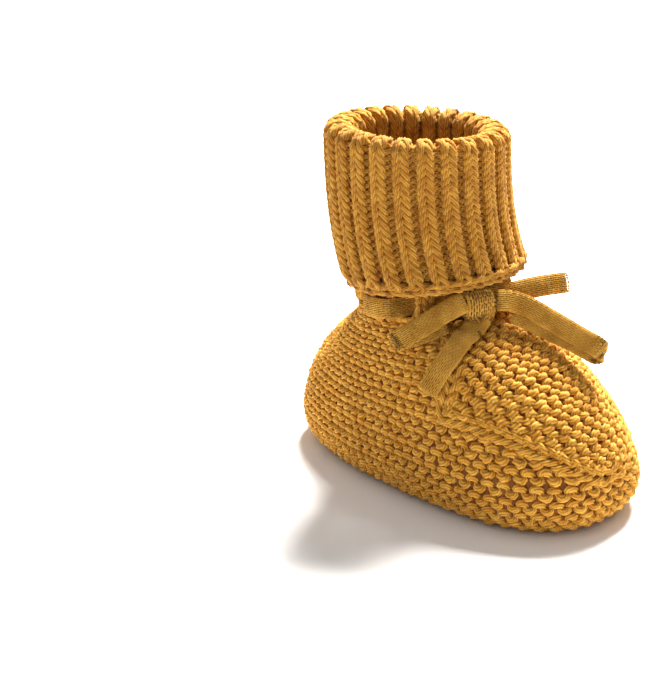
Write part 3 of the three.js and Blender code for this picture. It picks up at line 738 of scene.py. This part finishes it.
def vamp_curve(along):
    """Half of one row, from the crest to the join: points on the surface as (rise, turn)."""
    rise0 = float(np.interp(along, crest_along, crest_rise))
    centre = foot_point(rise0, 0.0)
    share = along / crest_along[-1]
    slope = math.radians(mix(66, 26, share ** 0.8))
    toward = np.array([0, math.cos(slope), math.sin(slope)])
    bow = mix(0.006, 0.02, share)
    turns = np.linspace(0, VAMP_SIDE, 145)
    grid = np.linspace(0.02, 0.998, 240)
    points = foot_point(grid[:, None], turns[None, :])
    value = ((points[..., 1] - bow * points[..., 0] ** 2 - centre[1]) * toward[1]
             + (points[..., 2] - centre[2]) * toward[2])
    above = value > 0
    first = np.where(above.any(0), above.argmax(0), len(grid) - 1)
    first = np.maximum(first, 1)
    a = np.take_along_axis(value, (first - 1)[None], 0)[0]
    b = np.take_along_axis(value, first[None], 0)[0]
    part = np.clip(-a / np.where(np.abs(b - a) < 1e-9, 1e-9, b - a), 0, 1)
    rises = mix(grid[first - 1], grid[first], part)
    rises[0] = rise0
    keep = rises >= vamp_edge(turns)
    keep &= turns <= edge_turn(rises)
    keep &= value[-1] > -0.2
    stop = len(turns) if keep.all() else max(int(np.argmin(keep)), 2)
    turns, rises = turns[:stop], rises[:stop]
    points = foot_point(rises, turns)
    walk = np.concatenate([[0], np.cumsum(np.linalg.norm(np.diff(points, axis=0), axis=1))])
    at = ACROSS_STEPS * walk[-1]
    return np.interp(at, walk, rises), np.interp(at, walk, turns), walk[-1]


vamp_along = np.linspace(0.0, crest_along[-1], 90)
vamp_table = [vamp_curve(a) for a in vamp_along]
table_rise = np.array([t[0] for t in vamp_table])
table_turn = np.array([t[1] for t in vamp_table])
table_half = np.array([t[2] for t in vamp_table])


def vamp_place(along, across):
    """Surface point at mm along the crest and across from -1 to 1, with its normal."""
    i = np.clip(np.interp(along, vamp_along, np.arange(len(vamp_along))), 0, len(vamp_along) - 1.001)
    j = np.clip(np.abs(across), 0, 1) * (len(ACROSS_STEPS) - 1) * 0.99999
    i0, j0 = i.astype(int), j.astype(int)
    fi, fj = i - i0, j - j0

    def sample(table):
        return (table[i0, j0] * (1 - fi) * (1 - fj) + table[i0 + 1, j0] * fi * (1 - fj)
                + table[i0, j0 + 1] * (1 - fi) * fj + table[i0 + 1, j0 + 1] * fi * fj)

    rise, turn = sample(table_rise), sample(table_turn) * np.sign(across)
    return foot_point(rise, turn), foot_normal(rise, turn)


def vamp_rows():
    tubes = []
    row_mm = crest_along[-1] / VAMP_ROWS
    for ridge in range(VAMP_ROWS // 2 + 1):
        pair = [row for row in (2 * ridge - 1, 2 * ridge) if 0 <= row <= VAMP_ROWS]
        middle = (np.mean(pair) + 0.5) * row_mm
        half = float(np.interp(middle, vamp_along, table_half))
        count = max(2, int(round(2 * half / VAMP_STITCH)))
        for row in pair:
            sign = 1.0 if row % 2 == 1 else -1.0
            size, along, up, out = garter_path(count, sign, reach=1.05)
            across = np.clip(along, 0, count) / count * 2 - 1
            place, normal = vamp_place((row + 0.5 + up) * row_mm, across)
            ahead, _ = vamp_place(np.full_like(across, (row + 1.0) * row_mm), across)
            behind, _ = vamp_place(np.full_like(across, row * row_mm), across)
            fill = np.clip(np.linalg.norm(ahead - behind, axis=1) * 1.12 / ROW, 0.88, 1.4)
            size = size * fill
            path = place - normal * (YARN * fill + LOOP_DEPTH * 0.9 - out)[:, None]
            tubes.append(yarn(path, normal, size, phase=any_turn()))
    return tubes


def vamp_painted_shade(near=1.3, far=2.9):
    along = np.linspace(0, crest_along[-1], 40)
    across = np.linspace(-1, 1, 41)
    a, b = np.meshgrid(along, across, indexing="ij")
    place, normal = vamp_place(a, b)
    return painted_shade_sheet(place, normal, False, near, far)


knit_piece("vamp_knit", vamp_rows(), "vamp", sheets=[vamp_painted_shade()])


# ---- stitches with a V face ----------------------------------------------------------------
def knit_stitch(lean=0.13, spread=0.37, high=0.62, dive=1.0):
    """One plain stitch from foot to foot: across -0.5..0.5, rows up, and 1 front to -1 back."""
    half = [(-0.5, -0.52, -dive), (-0.26, -0.66, -dive * 0.75), (-lean, -0.42, 0.25),
            (-mix(lean, spread, 0.35), -0.05, 1.0), (-mix(lean, spread, 0.8), 0.36, 0.85),
            (-spread, high, 0.05), (-0.22, high + 0.3, -dive * 0.8), (0, high + 0.36, -dive)]
    points = np.array(half + [(-x, y, z) for x, y, z in half[-2::-1]])
    return catmull(points, PER_STITCH + 1)


STITCH = knit_stitch()


def v_column(place, count, wide, radius, row, deep):
    """A column of V stitches along a line: place(along mm, across mm, out mm) gives points."""
    tubes = []
    for k in range(count):
        shape = knit_stitch(0.12, 0.34)
        wobble = 1 + 0.06 * rng.standard_normal()
        along = (k + 0.5 + shape[:, 1] * wobble) * row
        path, normal = place(along, shape[:, 0] * wide, shape[:, 2] * deep)
        tubes.append(yarn(path, normal, radius, phase=any_turn()))
    return tubes


# join: picked-up stitches along the vamp's edge
JOIN_ROW, JOIN_WIDE, JOIN_YARN, JOIN_SUNK, JOIN_DEEP = 3.2, 5.4, 1.0, 0.45, 0.7


def join_line(side):
    lower = np.linspace(0, VAMP_SIDE - 1, 90)
    rises = vamp_edge(lower)
    upper = np.linspace(VAMP_SIDE_RISE, 0.99, 40)
    turns = np.concatenate([lower, edge_turn(upper)]) * side
    rises = np.concatenate([rises, upper])
    points = foot_point(rises, turns)
    walk = np.concatenate([[0], np.cumsum(np.linalg.norm(np.diff(points, axis=0), axis=1))])
    return walk, points, foot_normal(rises, turns)


def join_tubes(side):
    walk, points, normals = join_line(side)

    def place(along, across, out):
        base = np.stack([np.interp(along, walk, points[:, i]) for i in range(3)], -1)
        ahead = np.stack([np.interp(along + 0.5, walk, points[:, i]) for i in range(3)], -1)
        behind = np.stack([np.interp(along - 0.5, walk, points[:, i]) for i in range(3)], -1)
        normal = unit(np.stack([np.interp(along, walk, normals[:, i]) for i in range(3)], -1))
        tangent = unit(ahead - behind)
        sideways = np.cross(normal, tangent)
        return base + sideways * across[:, None] + normal * (out - YARN - JOIN_SUNK)[:, None], normal

    count = int(walk[-1] / JOIN_ROW)
    return v_column(place, count, JOIN_WIDE, JOIN_YARN, walk[-1] / count, JOIN_DEEP)


for side, label in ((1, "left"), (-1, "right")):
    knit_piece(f"join_knit_{label}", join_tubes(side), f"vamp_join_{label}")


# ---- eyelet band ---------------------------------------------------------------------------
FINE_YARN = 0.78
BAND_WALES, BAND_COURSES = 34, 4


def band_tubes():
    wales, rows = BAND_WALES, BAND_COURSES
    row = BAND_HEIGHT / rows
    tubes = []
    for course in range(rows):
        along, up, out = [], [], []
        for k in range(wales):
            along.append(k + 0.5 + STITCH[:-1, 0])
            up.append(course + 0.5 + STITCH[:-1, 1] * 0.95)
            out.append(STITCH[:-1, 2] * 0.5)
        along, up, out = np.concatenate(along), np.concatenate(up), np.concatenate(out)
        turn = along / wales * 360
        rise = (up - rows / 2) * row
        from_toe = np.abs((turn + 180) % 360 - 180)
        for eyelet in EYELETS:
            off = (from_toe - eyelet) * math.radians(1) * ANKLE_RADIUS
            inside = 1 - smooth(EYELET_WIDTH / 2 - 1.2, EYELET_WIDTH / 2 + 1.4, np.abs(off))
            edge = np.sign(course + 0.5 - rows / 2) * (BAND_HEIGHT / 2 - 0.55)
            rise = mix(rise, edge, inside)
            out = mix(out, -0.2, inside)
        rise = np.clip(rise, -BAND_HEIGHT / 2 - 0.4, BAND_HEIGHT / 2 + 0.5)
        angle = np.radians(turn - 90)
        path = band_point(ANKLE_RADIUS - 1.1 + out, angle, rise)
        normal = np.stack([np.cos(angle), np.sin(angle), 0 * angle], -1)
        tubes.append(yarn(path, normal, FINE_YARN, closed=True))
    return tubes


knit_piece("ankle_knit", band_tubes(), "ankle_band")


# ---- ribbed cuff ---------------------------------------------------------------------------
RIBS = 24
RIB_ROW = 1.88
RIB_YARN = 0.88
LAYER_INNER = CUFF_RADIUS - CUFF_FABRIC
INNER_OUT = LAYER_INNER - GAP
INNER_IN = INNER_OUT - CUFF_FABRIC
FOLD_RADIUS = (CUFF_RADIUS - INNER_IN) / 2
FOLD_MIDDLE = (CUFF_RADIUS + INNER_IN) / 2
FOLD_SHARE = 1 - FOLD_RADIUS / CUFF_HEIGHT
OUTER_LENGTH = CUFF_HEIGHT * FOLD_SHARE - CAST_OFF_HEIGHT
FOLD_LENGTH = math.pi * (FOLD_RADIUS - 1.2)
INNER_LENGTH = CUFF_HEIGHT * FOLD_SHARE
KNIT_SHARE = 0.65
RIB_RAISED, RIB_REACH, RIB_RELIEF = 1.45, 1.06, 0.42
RIM_SWELL = 1.5
RIM_SWELL_REACH = 9.0


def cuff_place(walk, angle, out):
    """walk: mm from the outer hem up, over the rim and down the inside. out: away from the fabric."""
    mid = CUFF_FABRIC / 2
    outer = walk < OUTER_LENGTH
    inner = walk > OUTER_LENGTH + FOLD_LENGTH
    share_out = (CAST_OFF_HEIGHT + np.clip(walk, -5, OUTER_LENGTH)) / CUFF_HEIGHT
    bend = np.clip((walk - OUTER_LENGTH) / FOLD_LENGTH, 0, 1) * np.pi
    down = np.clip(walk - OUTER_LENGTH - FOLD_LENGTH, 0, None)
    share_in = FOLD_SHARE - down / CUFF_HEIGHT
    roll = FOLD_RADIUS - mid + out
    swell = RIM_SWELL * np.exp(-(down / RIM_SWELL_REACH) ** 2)
    inward = roll + RIM_SWELL * (np.cos(bend) < 0)
    radius = np.where(outer, CUFF_RADIUS - mid + out,
                      np.where(inner, INNER_IN + mid - out - swell, FOLD_MIDDLE + inward * np.cos(bend)))
    rise = np.where(outer | inner, 0.0, roll * np.sin(bend))
    share = np.where(outer, share_out, np.where(inner, share_in, FOLD_SHARE))
    return cuff_point(share, radius, angle, rise)


RIB_STITCH = knit_stitch(0.09, 0.36, 0.78)


def rib_course(walk0, row, count=RIBS):
    """One course of knit 1, purl 1 right round. Returns walk, angle, out along a closed yarn."""
    angle, walk, out = [], [], []
    shape = RIB_STITCH[:-1]
    for k in range(count):
        wobble = 0.05 * rng.standard_normal(2)
        for knit in (True, False):
            width = KNIT_SHARE if knit else 1 - KNIT_SHARE
            start = 0 if knit else KNIT_SHARE
            angle.append((k + start + width * (0.5 + shape[:, 0])) / count)
            walk.append(walk0 - shape[:, 1] * row * RIB_REACH * (1 + wobble[0 if knit else 1]))
            sign = 1 if knit else -1
            crown = np.clip(1.2 - 1.6 * np.abs(shape[:, 0]) ** 3 * 4, 0.25, 1) * 0.7
            out.append(sign * (RIB_RAISED * crown + shape[:, 2] * RIB_RELIEF))
    return np.concatenate(walk), np.concatenate(angle) * 2 * np.pi, np.concatenate(out)


def cuff_tubes(first, last):
    courses = max(1, int(round((last - first) / RIB_ROW)))
    row = (last - first) / courses
    tubes = []
    for course in range(courses):
        middle = first + (course + 0.5) * row
        walk, angle, out = rib_course(middle, row)
        path = cuff_place(walk, angle, out)
        normal = unit(cuff_place(walk, angle, out + 0.5) - path)
        tubes.append(yarn(path, normal, RIB_YARN, closed=True, phase=any_turn()))
    return tubes


def cuff_painted_shade(first, last, rows=14, near=0.95, far=1.25):
    walk = np.linspace(first, last, rows)
    angle = np.linspace(0, 2 * np.pi, 97)[:-1]
    w, a = np.meshgrid(walk, angle, indexing="ij")
    place = cuff_place(w, a, np.zeros(w.shape))
    normal = unit(cuff_place(w, a, np.full(w.shape, 0.5)) - place)
    return painted_shade_sheet(place, normal, True, near, far)


fold_end = OUTER_LENGTH + FOLD_LENGTH
knit_piece("cuff_knit", cuff_tubes(0, OUTER_LENGTH), "cuff_turndown", shaded_rib_material,
           sheets=[cuff_painted_shade(0, OUTER_LENGTH)])
knit_piece("rim_knit", cuff_tubes(OUTER_LENGTH, fold_end), "cuff_rim", shaded_rib_material,
           sheets=[cuff_painted_shade(OUTER_LENGTH, fold_end, 10)])
knit_piece("inner_cuff_knit", cuff_tubes(fold_end, fold_end + INNER_LENGTH), "cuff_inner", shaded_rib_material,
           sheets=[cuff_painted_shade(fold_end, fold_end + INNER_LENGTH)])


# cast-off chain round the hem
CAST_OFF_WIDE, CAST_OFF_SUNK, CAST_OFF_WAVE = 3.0, 1.1, 0.35


def cast_off_tubes():
    count = 2 * RIBS
    step = 2 * np.pi * CUFF_RADIUS / count
    chain = []
    for k in range(count):
        shape = knit_stitch(0.12, 0.36)
        along = (k + 0.5 + shape[:, 1]) * step
        angle = along / CUFF_RADIUS
        wave = CAST_OFF_WAVE * np.cos(angle * RIBS + 0.6)
        out = shape[:, 2] * 0.6 + wave
        path = cuff_point(0.0, CUFF_RADIUS - CAST_OFF_SUNK + out, angle,
                          1.25 + shape[:, 0] * CAST_OFF_WIDE)
        normal = np.stack([np.cos(angle), np.sin(angle), 0 * angle], -1)
        chain.append(yarn(path, normal, FINE_YARN, phase=any_turn()))
    return chain


knit_piece("cast_off_knit", cast_off_tubes(), "cast_off_edge", shaded_rib_material)


# ---- sole ----------------------------------------------------------------------------------
def sole_tubes():
    tubes = []
    edge = foot_point(-0.96, np.linspace(0, 180, 721))
    front, rear = edge[0, 1] + 3, edge[-1, 1] - 3
    rows = int((rear - front) / ROW / 2) * 2
    for row in range(rows):
        y0 = front + (row + 0.5) * (rear - front) / rows
        order = np.argsort(edge[:, 1])
        half = float(np.interp(y0, edge[order, 1], edge[order, 0])) - 1.6
        if half < 4:
            continue
        count = max(2, int(round(2 * half / SOLE_STITCH)))
        sign = 1.0 if row % 2 == 1 else -1.0
        size, along, up, out = garter_path(count, sign)
        x = (np.clip(along, 0, count) / count * 2 - 1) * half
        y = y0 + up * ROW
        z = YARN + 0.05 + LOOP_DEPTH - out * 0.95
        path = np.stack([x, y, np.clip(z, YARN + 0.02, None)], -1)
        normal = np.broadcast_to(np.array([0, 0, -1.0]), path.shape)
        tubes.append(yarn(path, normal, size, phase=any_turn()))
    return tubes


def sole_painted_shade():
    turns = np.linspace(0, 360, 97)[:-1]
    rim = foot_point(-0.96, turns)
    centre = np.array([0, WIDEST_Y, 0])
    shares = np.linspace(0.05, 0.97, 8)[:, None, None]
    place = centre + (rim[None] - centre) * shares
    place[..., 2] = 0
    normal = np.broadcast_to(np.array([0, 0, -1.0]), place.shape)
    return painted_shade_sheet(place, normal, True, 1.5, 2.9)


knit_piece("sole_knit", sole_tubes(), "sole", sheets=[sole_painted_shade()])


# ---- floor and light -----------------------------------------------------------------------
def floor():
    mesh = bpy.data.meshes.new("floor")
    size = 3.0
    mesh.from_pydata([(-size, -size, 0), (size, -size, 0), (size, size, 0), (-size, size, 0)], [],
                     [(0, 1, 2, 3)])
    obj = bpy.data.objects.new("floor", mesh)
    bpy.context.scene.collection.objects.link(obj)
    material = bpy.data.materials.new("floor_paper")
    material.use_nodes = True
    shader = material.node_tree.nodes["Principled BSDF"]
    shader.inputs["Base Color"].default_value = (0.93, 0.925, 0.92, 1)
    shader.inputs["Roughness"].default_value = 0.9
    shader.inputs["Specular IOR Level"].default_value = 0.1
    mesh.materials.append(material)


floor()


def area_light(name, place, target, size, power, colour):
    data = bpy.data.lights.new(name, "AREA")
    data.shape = "SQUARE"
    data.size = size
    data.energy = power
    data.color = colour
    light = bpy.data.objects.new(name, data)
    light.location = place
    light.rotation_mode = "QUATERNION"
    light.rotation_quaternion = (Vector(target) - Vector(place)).to_track_quat("-Z", "Y")
    bpy.context.scene.collection.objects.link(light)


area_light("key", (0.60, 0.30, 1.0), (0, 0, 0.05), 0.40, 70, (1, 0.98, 0.94))
area_light("fill", (-0.9, -0.5, 1.1), (0, 0, 0.03), 1.0, 3, (1, 0.96, 0.9))
world = bpy.data.worlds.new("studio")
bpy.context.scene.world = world
world.use_nodes = True
world.node_tree.nodes["Background"].inputs["Color"].default_value = (1, 0.99, 0.975, 1)
world.node_tree.nodes["Background"].inputs["Strength"].default_value = 0.40
bpy.context.scene.view_settings.view_transform = "Standard"
